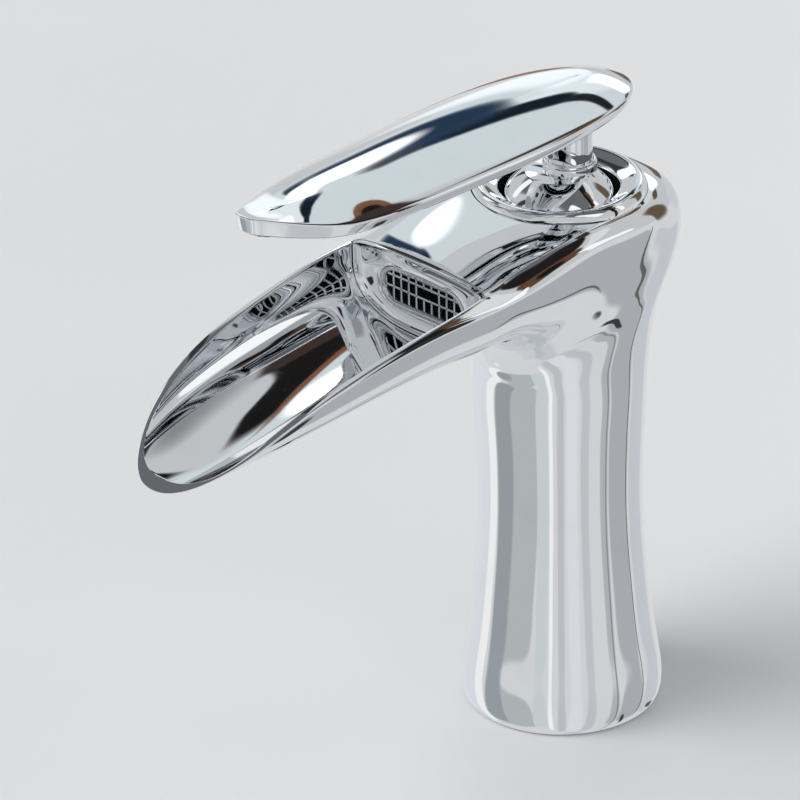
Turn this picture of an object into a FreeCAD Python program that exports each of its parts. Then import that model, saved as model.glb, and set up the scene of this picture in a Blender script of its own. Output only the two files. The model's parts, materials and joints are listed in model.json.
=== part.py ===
import FreeCAD, Part
import math
import os
import Sketcher
from FreeCAD import Placement, Rotation, Vector

# Single-lever basin mixer with an open trough spout.
# Origin: centre of the base on the deck face. +Z is up, the spout points to -Y,
# and the whole body is symmetric about X = 0. All sizes are in millimetres.

doc = FreeCAD.newDocument("waterfallMixer")
sheet = doc.addObject("Spreadsheet::Sheet", "Sizes")

sizes = {
    # column
    "contactRadius": 24.0,
    "baseRadius": 25.0,
    "baseHeight": 4.4,
    "waistRadius": 20.25,
    "waistHeight": 58.0,
    "neckRadius": 21.05,
    "neckHeight": 84.0,
    "seatGap": 0.5,
    # head and spout
    "headHalfWidth": 25.0,
    "shoulderHeight": 131.0,
    "bendReach": 38.0,
    "bendHeight": 92.0,
    "lipReach": 47.4,
    "lipCornerHeight": 134.2,
    "mouthBack": 36.0,
    # hollows of the body
    "cavityRadius": 17.0,
    "cavityTop": 70.0,
    "chamberRadius": 18.2,
    "chamberFloor": 94.0,
    "nutBoreRadius": 19.55,
    "nutBoreFloor": 118.5,
    "ringBoreRadius": 21.35,
    "ringBoreFloor": 135.0,
    "inletRadius": 5.0,
    "inletDepth": 14.0,
    "inletSide": 8.0,
    "inletBack": 4.0,
    "waterwayRadius": 2.6,
    "studRadius": 4.0,
    "studFront": 12.5,
    "studDepth": 16.0,
    "studReach": 45.0,
    # trim ring
    "ringRadius": 21.3,
    "ringCrestRadius": 19.2,
    "ringCrestHeight": 141.2,
    "ringEdgeHeight": 139.0,
    "ringLipRadius": 14.5,
    "ringLipHeight": 139.3,
    "ringSkirtRadius": 17.6,
    # ball and stem
    "ballRadius": 16.5,
    "ballInnerRadius": 13.2,
    "ballHeight": 128.5,
    "ballFlat": 143.0,
    "ballSkirt": 131.4,
    "stemRadius": 5.5,
    "stemBack": 3.8,
    "stemTop": 160.4,
    "collarRadius": 6.7,
    "collarTop": 145.2,
    "hubRadius": 7.0,
    "hubBottom": 135.5,
    # cartridge
    "cartridgeRadius": 17.0,
    "cartridgeBaseTop": 101.2,
    "fixedDiscTop": 105.2,
    "movingDiscTop": 108.0,
    "carrierTop": 114.0,
    "discRadius": 11.0,
    "discShift": 2.5,
    "rotorRadius": 15.0,
    "rotorFloor": 114.3,
    "rotorPlateTop": 117.0,
    "rotorNeckRadius": 9.2,
    "rotorTop": 132.5,
    "housingInnerRadius": 15.3,
    "housingPlateFloor": 117.3,
    "housingTop": 120.0,
    "nutTop": 125.0,
    "nutInnerRadius": 11.0,
    "nutRadius": 19.5,
    "spindleWidth": 7.0,
    "spindleTop": 139.8,
    "spindleArm": 16.0,
    # under the deck
    "deckThickness": 12.0,
    "rubberThickness": 3.0,
    "steelThickness": 2.0,
    "clampRadius": 23.0,
    "nutHeight": 14.0,
    "nutFlats": 13.0,
}

for row, (alias, value) in enumerate(sizes.items(), start=1):
    sheet.set("A%d" % row, alias)
    sheet.set("B%d" % row, str(value))
    sheet.setAlias("B%d" % row, alias)
doc.recompute()


def size(alias):
    return float(sheet.get(alias))


def spoken(term):
    """A length is a number, an alias, or (alias, offset)."""
    if isinstance(term, str):
        return "Sizes." + term, size(term)
    if isinstance(term, tuple):
        return "Sizes.%s + (%s)" % term, size(term[0]) + term[1]
    return str(term), float(term)


def bind(item, prop, term):
    text, value = spoken(term)
    item.setExpression(prop, text)


def place(item, x=0, y=0, z=0, turn=None):
    item.Placement = Placement(Vector(0, 0, 0), turn or Rotation())
    for letter, term in zip("xyz", (x, y, z)):
        bind(item, "Placement.Base." + letter, term)
    return item


alongY = Rotation(Vector(1, 0, 0), -90)
alongX = Rotation(Vector(0, 1, 0), 90)


def rod(name, radius, length, x=0, y=0, z=0, turn=None):
    item = doc.addObject("Part::Cylinder", name)
    bind(item, "Radius", radius)
    bind(item, "Height", length)
    return place(item, x, y, z, turn)


def block(name, width, depth, height, x, y, z):
    item = doc.addObject("Part::Box", name)
    bind(item, "Length", width)
    bind(item, "Width", depth)
    bind(item, "Height", height)
    return place(item, x, y, z)


def ball(name, radius, x=0, y=0, z=0):
    item = doc.addObject("Part::Sphere", name)
    bind(item, "Radius", radius)
    return place(item, x, y, z)


def join(name, items):
    item = doc.addObject("Part::MultiFuse", name)
    item.Shapes = items
    return item


def overlap(name, items):
    item = doc.addObject("Part::MultiCommon", name)
    item.Shapes = items
    return item


def cut(name, base, tools):
    item = doc.addObject("Part::Cut", name)
    item.Base = base
    item.Tool = tools[0] if len(tools) == 1 else join(name + "Tools", tools)
    return item


def group(name, items):
    item = doc.addObject("Part::Compound", name)
    item.Links = items
    return item


def freeform(name, shape):
    if shape.Volume < 0:
        shape = shape.reversed()
    item = doc.addObject("Part::Feature", name)
    item.Shape = shape
    item.Placement = Placement()
    return item


def originPlane(body, role):
    for item in body.Origin.OriginFeatures:
        if item.Role == role:
            return item
    raise ValueError(role)


def drawing(body, role, corners):
    """A closed polygon whose every corner is held by its distances from the origin."""
    sketch = body.newObject("Sketcher::SketchObject", body.Name + "Drawing")
    sketch.AttachmentSupport = [(originPlane(body, role), "")]
    sketch.MapMode = "FlatFace"
    at = [Vector(spoken(a)[1], spoken(b)[1], 0) for a, b in corners]
    count = len(at)
    for i in range(count):
        sketch.addGeometry(Part.LineSegment(at[i], at[(i + 1) % count]), False)
    for i in range(count):
        sketch.addConstraint(Sketcher.Constraint("Coincident", i, 2, (i + 1) % count, 1))
    for i, corner in enumerate(corners):
        for kind, term, axis in (("DistanceX", corner[0], -2), ("DistanceY", corner[1], -1)):
            text, value = spoken(term)
            if abs(value) < 1e-9:
                sketch.addConstraint(Sketcher.Constraint("PointOnObject", i, 1, axis))
                continue
            index = sketch.addConstraint(Sketcher.Constraint(kind, -1, 1, i, 1, value))
            if not isinstance(term, (int, float)):
                sketch.setExpression("Constraints[%d]" % index, text)
    return sketch


def turned(name, corners):
    """Part turned on a lathe: corners are (radius, height)."""
    body = doc.addObject("PartDesign::Body", name)
    sketch = drawing(body, "XZ_Plane", corners)
    feature = body.newObject("PartDesign::Revolution", name + "Turning")
    feature.Profile = sketch
    feature.ReferenceAxis = (sketch, ["V_Axis"])
    feature.Angle = 360
    sketch.Visibility = False
    body.Tip = feature
    doc.recompute()
    return body


def sheared(name, corners, length, floor):
    """Prism standing on the height 'floor': corners are (x, y)."""
    body = doc.addObject("PartDesign::Body", name)
    sketch = drawing(body, "XY_Plane", corners)
    feature = body.newObject("PartDesign::Pad", name + "Pad")
    feature.Profile = sketch
    bind(feature, "Length", length)
    sketch.Visibility = False
    body.Tip = feature
    bind(body, "Placement.Base.z", floor)
    doc.recompute()
    return body


# ---- smooth sections -------------------------------------------------------

around = 15


def halfSection(mid, outer, inner, halfWidth, outerPower, innerPower):
    """Right half of a rounded section, from its inner end to its outer end."""
    points = []
    for i in range(around):
        angle = -math.pi / 2 + math.pi * i / (around - 1)
        power = outerPower if angle >= 0 else innerPower
        across = halfWidth * abs(math.cos(angle)) ** (2 / power)
        rise = abs(math.sin(angle)) ** (2 / power)
        reach = mid + (outer - mid) * rise if angle >= 0 else mid - (mid - inner) * rise
        points.append((across, reach))
    points[0] = (0.0, inner)
    points[-1] = (0.0, outer)
    return points


def ringCurve(half, lift):
    """Closed smooth curve through a half section and its mirror image."""
    right = [lift(x, r) for x, r in half]
    left = [lift(-x, r) for x, r in half[1:-1]]
    points = right + left[::-1]
    curve = Part.BSplineCurve()
    steps = [float(i) for i in range(len(points) + 1)]
    curve.interpolate(Points=points, PeriodicFlag=True, Parameters=steps)
    return curve


def ringWire(half, lift):
    return Part.Wire([ringCurve(half, lift).toShape()])


def skin(rings):
    """Solid under one smooth surface that passes through every ring in turn."""
    rows = [ring.getPoles() for ring in rings]
    along = [0.0]
    for before, after in zip(rows, rows[1:]):
        gaps = [a.distanceToPoint(b) for a, b in zip(before, after)]
        along.append(along[-1] + math.sqrt(sum(gaps) / len(gaps)))
    columns = []
    for j in range(len(rows[0])):
        column = Part.BSplineCurve()
        column.interpolate(Points=[row[j] for row in rows], Parameters=along)
        columns.append(column)
    grid = [list(strip) for strip in zip(*[column.getPoles() for column in columns])]
    surface = Part.BSplineSurface()
    surface.buildFromPolesMultsKnots(
        grid,
        columns[0].getMultiplicities(),
        rings[0].getMultiplicities(),
        columns[0].getKnots(),
        rings[0].getKnots(),
        False,
        True,
        columns[0].Degree,
        rings[0].Degree,
    )
    side = surface.toShape()
    caps = [Part.Face(Part.Wire([ring.toShape()])) for ring in (rings[0], rings[-1])]
    shell = Part.makeShell([side] + caps)
    shell.sewShape()
    solid = Part.makeSolid(shell)
    if solid.Volume < 0:
        solid.reverse()
    return solid


def smooth(points):
    curve = Part.BSplineCurve()
    curve.interpolate(points)
    return curve.toShape()


bendY = -size("bendReach")
bendZ = size("bendHeight")
shoulder = size("shoulderHeight")
headWidth = size("headHalfWidth")

# column: radius at each height, flared foot, slight waist
columnStations = [
    (size("seatGap"), size("contactRadius") + 0.35),
    (2.0, size("baseRadius") - 0.2),
    (size("baseHeight"), size("baseRadius")),
    (9.0, size("baseRadius") - 0.3),
    (18.0, size("baseRadius") - 1.7),
    (30.0, size("waistRadius") + 1.65),
    (44.0, size("waistRadius") + 0.45),
    (size("waistHeight"), size("waistRadius")),
    (72.0, size("waistRadius") + 0.35),
    (size("neckHeight"), size("neckRadius")),
]

# bend from column to spout: sections turn about a line under the spout.
# angle, inner reach, mid reach, outer reach, half width, outer and inner squareness
bendStations = [
    (0, 17.0, 38.4, 59.6, 21.2, 2.0, 2.0),
    (12, 16.8, 40.0, 63.0, 21.7, 2.0, 2.0),
    (20, 17.0, 44.0, 67.8, 22.3, 2.05, 2.0),
    (25, 17.0, 48.0, 74.4, 22.8, 2.1, 2.0),
    (28, 17.1, 50.0, 78.6, 23.2, 2.2, 2.0),
    (31, 17.2, 52.0, 79.8, 23.7, 2.3, 2.0),
    (34, 17.3, 52.5, 79.1, 24.1, 2.5, 2.0),
    (38, 17.5, 53.0, 76.0, 24.5, 2.8, 2.05),
    (44, 17.8, 54.0, 68.6, headWidth, 3.5, 2.1),
    (52, 18.3, 49.5, 60.6, headWidth, 4.0, 2.1),
    (62, 18.9, 44.2, 54.1, headWidth, 4.0, 2.15),
    (75, 20.0, 40.4, 48.8, headWidth, 3.0, 2.2),
]

# spout: distance forward, floor, shoulder and top heights, half width, squareness
spoutStations = [
    (38.0, 113.0, shoulder, 138.3, headWidth, 2.2, 2.2),
    (47.4, 113.7, shoulder, 138.0, headWidth, 2.0, 2.25),
    (60.0, 114.2, 130.7, 138.2, 24.2, 2.1, 2.25),
    (75.0, 113.9, 129.4, 137.4, 23.2, 2.2, 2.25),
    (90.0, 113.2, 127.4, 135.4, 22.2, 2.2, 2.25),
    (104.0, 112.3, 125.0, 132.5, 20.6, 2.2, 2.25),
    (116.0, 111.3, 122.3, 129.0, 18.3, 2.2, 2.2),
    (126.0, 110.4, 119.8, 126.0, 15.3, 2.2, 2.2),
    (137.0, 109.9, 117.0, 122.5, 11.5, 2.2, 2.2),
]

rings = []
for height, radius in columnStations:
    rings.append(
        ringCurve(halfSection(0, radius, -radius, radius, 2, 2), lambda x, r, z=height: Vector(x, r, z))
    )
for angle, inner, mid, outer, half, outPower, inPower in bendStations:
    turn = math.radians(angle)
    section = halfSection(mid, outer, inner, half, outPower, inPower)
    rings.append(
        ringCurve(
            section,
            lambda x, r, t=turn: Vector(x, bendY + r * math.cos(t), bendZ + r * math.sin(t)),
        )
    )
for forward, floor, mid, top, half, topPower, floorPower in spoutStations:
    section = halfSection(mid, top, floor, half, topPower, floorPower)
    rings.append(ringCurve(section, lambda x, r, f=forward: Vector(x, -f, r)))
hull = freeform("bodyHull", skin(rings))

# water channel of the spout: distance forward, floor, widest height, half width
channelStations = [
    (47.8, 116.9, 130.0, 21.2),
    (60.0, 116.5, 129.5, 21.8),
    (75.0, 115.9, 128.2, 21.0),
    (90.0, 115.1, 126.2, 20.0),
    (104.0, 114.1, 123.6, 18.5),
    (116.0, 113.0, 120.8, 16.3),
    (126.0, 112.0, 118.0, 13.5),
    (138.0, 111.3, 115.5, 10.0),
]
channelPower = 2.4
sky = 160.0


channelRings = []
for forward, floor, widest, half in channelStations:
    section = halfSection(widest, sky, floor, half, 3.0, channelPower)
    channelRings.append(ringCurve(section, lambda x, r, f=forward: Vector(x, -f, r)))
channel = freeform("spoutChannel", skin(channelRings))


# everything above the rim line in front of the lip is open
rimLine = [
    (47.4, 134.2),
    (60.0, 133.3),
    (76.0, 131.3),
    (90.0, 128.9),
    (103.7, 125.2),
    (112.7, 121.5),
    (122.5, 116.3),
    (128.5, 113.0),
    (135.0, 109.6),
    (140.0, 107.2),
]
rim = [Vector(-40, -f, z) for f, z in rimLine]
edges = [
    smooth(rim),
    Part.LineSegment(rim[-1], Vector(-40, rim[-1].y, sky)).toShape(),
    Part.LineSegment(Vector(-40, rim[-1].y, sky), Vector(-40, rim[0].y, sky)).toShape(),
    Part.LineSegment(Vector(-40, rim[0].y, sky), rim[0]).toShape(),
]
aboveRim = freeform("aboveRim", Part.Face(Part.Wire(edges)).extrude(Vector(80, 0, 0)))


def mouthSection(forward, half, top, floor, mid=130.0):
    section = halfSection(mid, top, floor, half, 2.0, channelPower)
    return ringWire(section, lambda x, r: Vector(x, -forward, r))


def mouthBlock(front, back, half, top, floor):
    ends = [mouthSection(front, half, top, floor), mouthSection(back, half, top, floor)]
    return Part.makeLoft(ends, True, True)


mouth = freeform("mouthHollow", mouthBlock(48.0, size("mouthBack"), 20.9, 136.7, 117.2))

# ---- body ------------------------------------------------------------------

cavity = rod("columnCavity", "cavityRadius", ("cavityTop", 5), z=-5)
groove = cut(
    "sealGroove",
    rod("grooveOuter", 23.1, 1.95, z=0),
    [rod("grooveInner", 20.4, 4, z=-1)],
)
chamber = rod("cartridgeChamber", "chamberRadius", 60, z="chamberFloor")
nutBore = rod("nutBore", "nutBoreRadius", 60, z="nutBoreFloor")
ringBore = rod("ringBore", "ringBoreRadius", 60, z="ringBoreFloor")
waterWay = block("outletWaterway", 16, 21, 4.2, -8, ("mouthBack", -72.9), 115.3)
inlets = []
for side, name in ((1, "Right"), (-1, "Left")):
    x = size("inletSide") * side
    inlets.append(
        rod("inlet" + name, "inletRadius", ("inletDepth", 1), x=x, y="inletBack", z=("cavityTop", -1))
    )
    inlets.append(rod("inletWay" + name, "waterwayRadius", 30, x=x, y="inletBack", z="cavityTop"))
studHole = rod(
    "studHole", "studRadius", ("studDepth", 1), y=-size("studFront"), z=("cavityTop", -1)
)
stage = cut("spoutOpened", hull, [channel])
stage = cut("rimTrimmed", stage, [aboveRim])
stage = cut("mouthOpened", stage, [mouth])
stage = cut("cartridgeSeat", stage, [chamber, nutBore, ringBore])
body = cut("faucet_body", stage, [cavity, groove, waterWay, studHole] + inlets)

# ---- outlet ----------------------------------------------------------------

insertBlock = freeform("insertBlock", mouthBlock(48.8, 38.0, 20.8, 136.55, 117.3))
insertDish = freeform("insertDish", mouthBlock(49.5, 46.6, 19.9, 150.0, 118.4))
insertTop = block("insertTop", 60, 2.0, 20, -30, -49.35, 133.8)


def stadium(name, width, height, front, back, z):
    """Slot with round ends lying along X, running from y = -front to y = -back."""
    radius = height / 2
    offset = width / 2 - radius
    parts = [
        rod(name + "EndA", radius, front - back, x=offset, y=-front, z=z, turn=alongY),
        rod(name + "EndB", radius, front - back, x=-offset, y=-front, z=z, turn=alongY),
        block(name + "Middle", 2 * offset, front - back, height, -offset, -front, z - radius),
    ]
    return join(name, parts)


grilleHeight = 126.2
insertSlot = stadium("insertSlot", 28.0, 10.2, 50.0, 30.0, grilleHeight)
insert = cut("outlet_insert", insertBlock, [insertDish, insertTop, insertSlot])

frameOuter = stadium("grilleOuter", 27.9, 10.1, 47.3, 43.5, grilleHeight)
frameInner = stadium("grilleInner", 25.3, 7.9, 50.0, 40.0, grilleHeight)
frame = cut("grilleFrame", frameOuter, [frameInner])
bars = []
barWidth = 0.7
pitch = 2.5
for i in range(-5, 6):
    x = i * pitch
    short = i in (0, 1)
    low = block("barLow%d" % (i + 5), barWidth, 2.0, 4.4, x - barWidth / 2, -46.2, 121.7)
    bars.append(low)
    if not short:
        bars.append(block("barMid%d" % (i + 5), barWidth, 2.0, 3.6, x - barWidth / 2, -46.2, 125.4))
    bars.append(block("barTop%d" % (i + 5), barWidth, 2.0, 2.2, x - barWidth / 2, -46.2, 128.5))
for k, z in enumerate((125.3, 128.3)):
    bars.append(block("crossBar%d" % k, 27.0, 2.0, barWidth, -13.5, -46.2, z))
barField = overlap(
    "barField", [join("allBars", bars), stadium("barLimit", 26.0, 8.4, 50, 40, grilleHeight)]
)
grille = join("outlet_grille", [frame, barField])

sealPlate = freeform("sealPlate", mouthBlock(37.95, 36.6, 20.4, 136.0, 117.7))
sealHole = stadium("sealHole", 28.0, 10.2, 50.0, 30.0, grilleHeight)
sealLow = block("sealLow", 16.4, 4, 4, -8.2, -39, 116)
outletSeal = cut("outlet_seal", sealPlate, [sealHole, sealLow])

# ---- trim ring, ball and lever ---------------------------------------------

trimRing = turned(
    "trim_ring",
    [
        ("ringSkirtRadius", "ringBoreFloor"),
        ("ringRadius", "ringBoreFloor"),
        ("ringRadius", "ringEdgeHeight"),
        (("ringRadius", -0.9), ("ringCrestHeight", -0.55)),
        (("ringCrestRadius", 0.45), ("ringCrestHeight", -0.08)),
        (("ringCrestRadius", -0.3), "ringCrestHeight"),
        (("ringCrestRadius", -1.1), ("ringCrestHeight", -0.25)),
        (("ringCrestRadius", -2.3), ("ringLipHeight", 0.75)),
        (("ringLipRadius", 1.0), ("ringLipHeight", 0.18)),
        ("ringLipRadius", "ringLipHeight"),
        (("ringLipRadius", -0.1), ("ringLipHeight", -0.7)),
        (("ringSkirtRadius", -1.2), ("ringBoreFloor", 1.6)),
    ],
)

ballSolid = overlap(
    "ballBand",
    [ball("ballOuter", "ballRadius", z="ballHeight"), rod("ballLimit", 18, 11.6, z="ballSkirt")],
)
ballDome = cut(
    "ball_dome",
    ballSolid,
    [
        ball("ballInner", "ballInnerRadius", z="ballHeight"),
        rod("ballStemHole", ("stemRadius", 0.05), 20, y="stemBack", z=132),
    ],
)

hubLimit = ball("hubLimit", ("ballInnerRadius", -0.05), z="ballHeight")
hub = overlap("hubSolid", [rod("hubRod", "hubRadius", 12, z="hubBottom"), hubLimit])
stemRod = rod(
    "stemRod", "stemRadius", ("stemTop", -size("hubBottom") - 1), y="stemBack", z=("hubBottom", 1)
)
socket = block("spindleSocket", 7.1, 7.1, 5.5, -3.55, -3.55, 134.5)
spigotBore = rod("spigotBore", 3.05, 20, y="stemBack", z=152)
screwBore = rod("screwBore", 2.05, 6, y=("stemBack", 2.0), z=156, turn=alongY)
hubBore = rod("hubBore", 1.5, 6, y=-8.0, z=138.2, turn=alongY)
stem = cut("lever_stem", join("stemBlank", [hub, stemRod]), [socket, spigotBore, screwBore, hubBore])

collarBlank = join(
    "collarSteps",
    [
        rod("collarStepLow", "collarRadius", ("collarTop", -137.6), y="stemBack", z=137),
        rod("collarStepHigh", ("collarRadius", -0.55), ("collarTop", -137), y="stemBack", z=137),
    ],
)
collarUnder = overlap(
    "collarUnder",
    [ball("collarBall", ("ballRadius", 0.03), z="ballHeight"), rod("collarFlat", 18, 20, z=123.03)],
)
collar = cut(
    "stem_collar",
    collarBlank,
    [collarUnder, rod("collarHole", ("stemRadius", 0.05), 20, y="stemBack", z=132)],
)

# leaf: distance back (+Y), half width, edge height, crown over the edge, edge depth
leafStations = [
    (20.4, 1.4, 162.3, 0.25, 1.9),
    (19.5, 4.6, 162.3, 0.8, 1.9),
    (17.4, 7.9, 162.4, 1.5, 2.0),
    (13.4, 11.3, 162.5, 2.3, 2.1),
    (7.0, 14.4, 162.6, 2.9, 2.2),
    (-4.0, 17.0, 162.7, 3.3, 2.3),
    (-20.0, 18.3, 162.75, 3.5, 2.35),
    (-40.0, 18.0, 162.8, 3.4, 2.4),
    (-58.0, 17.2, 162.8, 3.2, 2.4),
    (-72.0, 16.1, 162.9, 2.9, 2.6),
    (-83.0, 13.9, 163.3, 2.4, 3.1),
    (-91.0, 10.2, 164.7, 1.7, 3.7),
    (-98.0, 6.0, 166.6, 1.0, 4.2),
    (-104.0, 3.3, 168.3, 0.5, 4.3),
]


def leafWire(y, half, edge, crown, depth):
    """Cross-section of the leaf: crowned top, narrow sides and a slightly bellied underside."""
    left = Vector(-half, y, edge)
    right = Vector(half, y, edge)
    floor = edge - depth
    inset = 0.35 * min(1.0, half / 6)
    lowLeft = Vector(-half + inset, y, floor)
    lowRight = Vector(half - inset, y, floor)
    top = []
    for i in range(9):
        u = -1 + i / 4
        top.append(Vector(u * half, y, edge + crown * (1 - abs(u) ** 2.3)))
    return Part.Wire(
        [
            smooth(top),
            Part.LineSegment(right, lowRight).toShape(),
            Part.LineSegment(lowRight, lowLeft).toShape(),
            Part.LineSegment(lowLeft, left).toShape(),
        ]
    )


leafBlade = freeform(
    "leafBlade", Part.makeLoft([leafWire(*station) for station in leafStations], True, False)
)
leaf = join("lever_leaf", [leafBlade, rod("leafSpigot", 3.0, 9.5, y="stemBack", z=152.5)])

grubScrew = cut(
    "grub_screw",
    rod("grubRod", 2.0, 1.7, y=("stemBack", 3.02), z=156, turn=alongY),
    [rod("grubKey", 0.9, 1.2, y=("stemBack", 4.0), z=156, turn=alongY)],
)
screwPlug = rod("screw_plug", 2.0, 0.62, y=("stemBack", 4.75), z=156, turn=alongY)
hubScrew = cut(
    "hub_screw",
    rod("hubScrewRod", 1.45, 3.2, y=-6.8, z=138.2, turn=alongY),
    [rod("hubScrewKey", 0.7, 1.5, y=-6.9, z=138.2, turn=alongY)],
)

# ---- cartridge -------------------------------------------------------------

housingShell = turned(
    "housingShell",
    [
        ("housingInnerRadius", "cartridgeBaseTop"),
        ("cartridgeRadius", "cartridgeBaseTop"),
        ("cartridgeRadius", ("housingTop", -0.5)),
        (("cartridgeRadius", -0.5), "housingTop"),
        (("rotorNeckRadius", 0.06), "housingTop"),
        (("rotorNeckRadius", 0.06), "housingPlateFloor"),
        ("housingInnerRadius", "housingPlateFloor"),
    ],
)
housing = cut("cartridge_housing", housingShell, [block("sideOutlet", 14, 6, 3.4, -7, -19, 109.5)])

baseBlank = rod("baseBlank", "cartridgeRadius", 7.18, z="chamberFloor")
baseTools = [block("baseOutlet", 11, 14, 3.6, -5.5, -19, 97.6), rod("baseOutletUp", 3.2, 8, y=-7.5, z=97.6)]
for side in (1, -1):
    x = side * size("inletSide")
    baseTools.append(rod("basePort%d" % (side + 1), 2.6, 9, x=x, y="inletBack", z=93.5))
    baseTools.append(rod("baseSealSeat%d" % (side + 1), 4.2, 1.7, x=x, y="inletBack", z=93.5))
cartridgeBase = cut("cartridge_base", baseBlank, baseTools)

seals = []
for side in (1, -1):
    x = side * size("inletSide")
    seals.append(
        cut(
            "portSeal%d" % (side + 1),
            rod("portSealOuter%d" % (side + 1), 4.15, 1.15, x=x, y="inletBack", z=94.02),
            [rod("portSealInner%d" % (side + 1), 2.75, 3, x=x, y="inletBack", z=93)],
        )
    )
portSeals = group("port_seals", seals)

fixedTools = [rod("fixedOutlet", 3.1, 8, y=-7.5, z=99)]
for side in (1, -1):
    x = side * size("inletSide")
    fixedTools.append(rod("fixedPort%d" % (side + 1), 2.4, 8, x=x, y="inletBack", z=99))
fixedDisc = cut(
    "fixed_disc",
    rod("fixedBlank", ("housingInnerRadius", -0.1), 4.0, z=("cartridgeBaseTop", 0)),
    fixedTools,
)

movingPocket = join(
    "mixingPocket",
    [rod("pocketA", 3.4, 1.6, x=4.6, y=2.0, z=104.5), rod("pocketB", 3.4, 1.6, x=-4.6, y=2.0, z=104.5),
     block("pocketC", 9.2, 6.8, 1.6, -4.6, -1.4, 104.5)],
)
movingDisc = cut(
    "moving_disc",
    rod("movingBlank", "discRadius", 2.76, y="discShift", z=("fixedDiscTop", 0.02)),
    [movingPocket],
)
carrier = cut(
    "disc_carrier",
    rod("carrierBlank", "discRadius", 5.96, y="discShift", z=("movingDiscTop", 0.01)),
    [rod("carrierPocket", 3.45, 6, z=109.2)],
)

rotorBlank = turned(
    "rotorBlank",
    [
        (0, "rotorFloor"),
        ("rotorRadius", "rotorFloor"),
        ("rotorRadius", "rotorPlateTop"),
        ("rotorNeckRadius", "rotorPlateTop"),
        ("rotorNeckRadius", ("rotorTop", -0.6)),
        (("rotorNeckRadius", -0.6), "rotorTop"),
        (0, "rotorTop"),
    ],
)
rotor = cut(
    "rotor",
    rotorBlank,
    [
        block("rotorSlot", 7.5, 12.7, 20, -3.75, -7.3, 116.5),
        block("rotorSlotLow", 7.5, 13.6, 4, -3.75, -8.2, 113.5),
        rod("rotorPinBore", 1.53, 30, x=-15, z="ballHeight", turn=alongX),
    ],
)
pivotPin = rod("pivot_pin", 1.5, 17.8, x=-8.9, z="ballHeight", turn=alongX)

spindle = cut(
    "spindle",
    join(
        "spindleBlank",
        [
            block("spindleSquare", "spindleWidth", "spindleWidth", ("spindleTop", -124), -3.5, -3.5, 124),
            rod("spindleRod", 2.8, 12.5, z=112.5),
            ball("spindleBall", 3.2, z=("ballHeight", -size("spindleArm"))),
        ],
    ),
    [rod("spindlePinBore", 1.56, 30, x=-15, z="ballHeight", turn=alongX)],
)

housingSeal = turned(
    "housing_seal",
    [
        (("cartridgeRadius", 0.03), 116.4),
        (("chamberRadius", -0.03), 116.4),
        (("chamberRadius", -0.03), 118.0),
        (("cartridgeRadius", 0.03), 118.0),
    ],
)

nutBlank = turned(
    "nutBlank",
    [
        ("nutInnerRadius", ("housingTop", 0.02)),
        ("nutRadius", ("housingTop", 0.02)),
        ("nutRadius", ("nutTop", -0.6)),
        (("nutRadius", -0.6), "nutTop"),
        (("nutInnerRadius", 0.5), "nutTop"),
        ("nutInnerRadius", ("nutTop", -0.5)),
    ],
)
slots = []
for k in range(3):
    slot = block("nutSlot%d" % k, 50, 4.0, 2.4, -25, -2, 123)
    slot.Placement = Placement(Vector(0, 0, 123), Rotation(Vector(0, 0, 1), 60 * k)) * Placement(
        Vector(-25, -2, 0), Rotation()
    )
    for letter in "xyz":
        slot.setExpression("Placement.Base." + letter, None)
    slots.append(slot)
cartridgeNut = cut("cartridge_nut", nutBlank, slots)

# ---- base seal and the fixings under the deck -------------------------------

baseSeal = turned(
    "base_seal",
    [(20.45, 0.0), (23.05, 0.0), (23.05, 1.9), (20.45, 1.9)],
)

studY = -size("studFront")
studBody = turned(
    "studTurned",
    [
        (0, ("cavityTop", 15.9)),
        (("studRadius", -0.7), ("cavityTop", 15.9)),
        (("studRadius", -0.03), ("cavityTop", 15.2)),
        (("studRadius", -0.03), -size("studReach") + 0.8),
        (("studRadius", -0.8), -size("studReach")),
        (0, -size("studReach")),
    ],
)
studBody.Placement = Placement(Vector(0, studY, 0), Rotation())
stud = group("fixing_stud", [studBody])


def horseshoe(name, thickness, top):
    """Crescent clamp plate, open at the back so the hoses can pass."""
    blank = rod(name + "Blank", "clampRadius", thickness, z=top - size(thickness))
    tools = [
        rod(name + "Throat", 14.0, 30, y=8, z=top - 20),
        block(name + "Gap", 28.0, 30, 30, -14, 8, top - 20),
        rod(name + "Hole", ("studRadius", 0.3), 30, y=studY, z=top - 20),
    ]
    return cut(name, blank, tools)


deck = -size("deckThickness")
rubber = horseshoe("clamp_gasket", "rubberThickness", deck)
steel = horseshoe("clamp_plate", "steelThickness", deck - size("rubberThickness"))

nutCeiling = deck - size("rubberThickness") - size("steelThickness")
corner = size("nutFlats") / 2 / math.cos(math.pi / 6)
hexCorners = [
    (round(corner * math.cos(math.pi / 3 * k), 4), round(corner * math.sin(math.pi / 3 * k), 4))
    for k in range(6)
]
hexPrism = sheared("nutPrism", hexCorners, "nutHeight", 0)
hexPrism.setExpression("Placement.Base.z", None)
hexPrism.Placement = Placement(Vector(0, studY, nutCeiling - size("nutHeight")), Rotation())
fixingNut = cut(
    "fixing_nut", hexPrism, [rod("fixingNutBore", ("studRadius", 0.02), 40, y=studY, z=nutCeiling - 25)]
)

doc.recompute()

nodes = [
    body, insert, grille, outletSeal, trimRing, ballDome, stem, collar, leaf, grubScrew,
    screwPlug, hubScrew, housing, cartridgeBase, portSeals, fixedDisc, movingDisc, carrier,
    rotor, pivotPin, spindle, housingSeal, cartridgeNut, baseSeal, stud, rubber, steel, fixingNut,
]

for item in doc.Objects:
    if "Invalid" in item.State or "Error" in item.State:
        raise RuntimeError("%s did not build: %s" % (item.Name, item.State))

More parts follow.
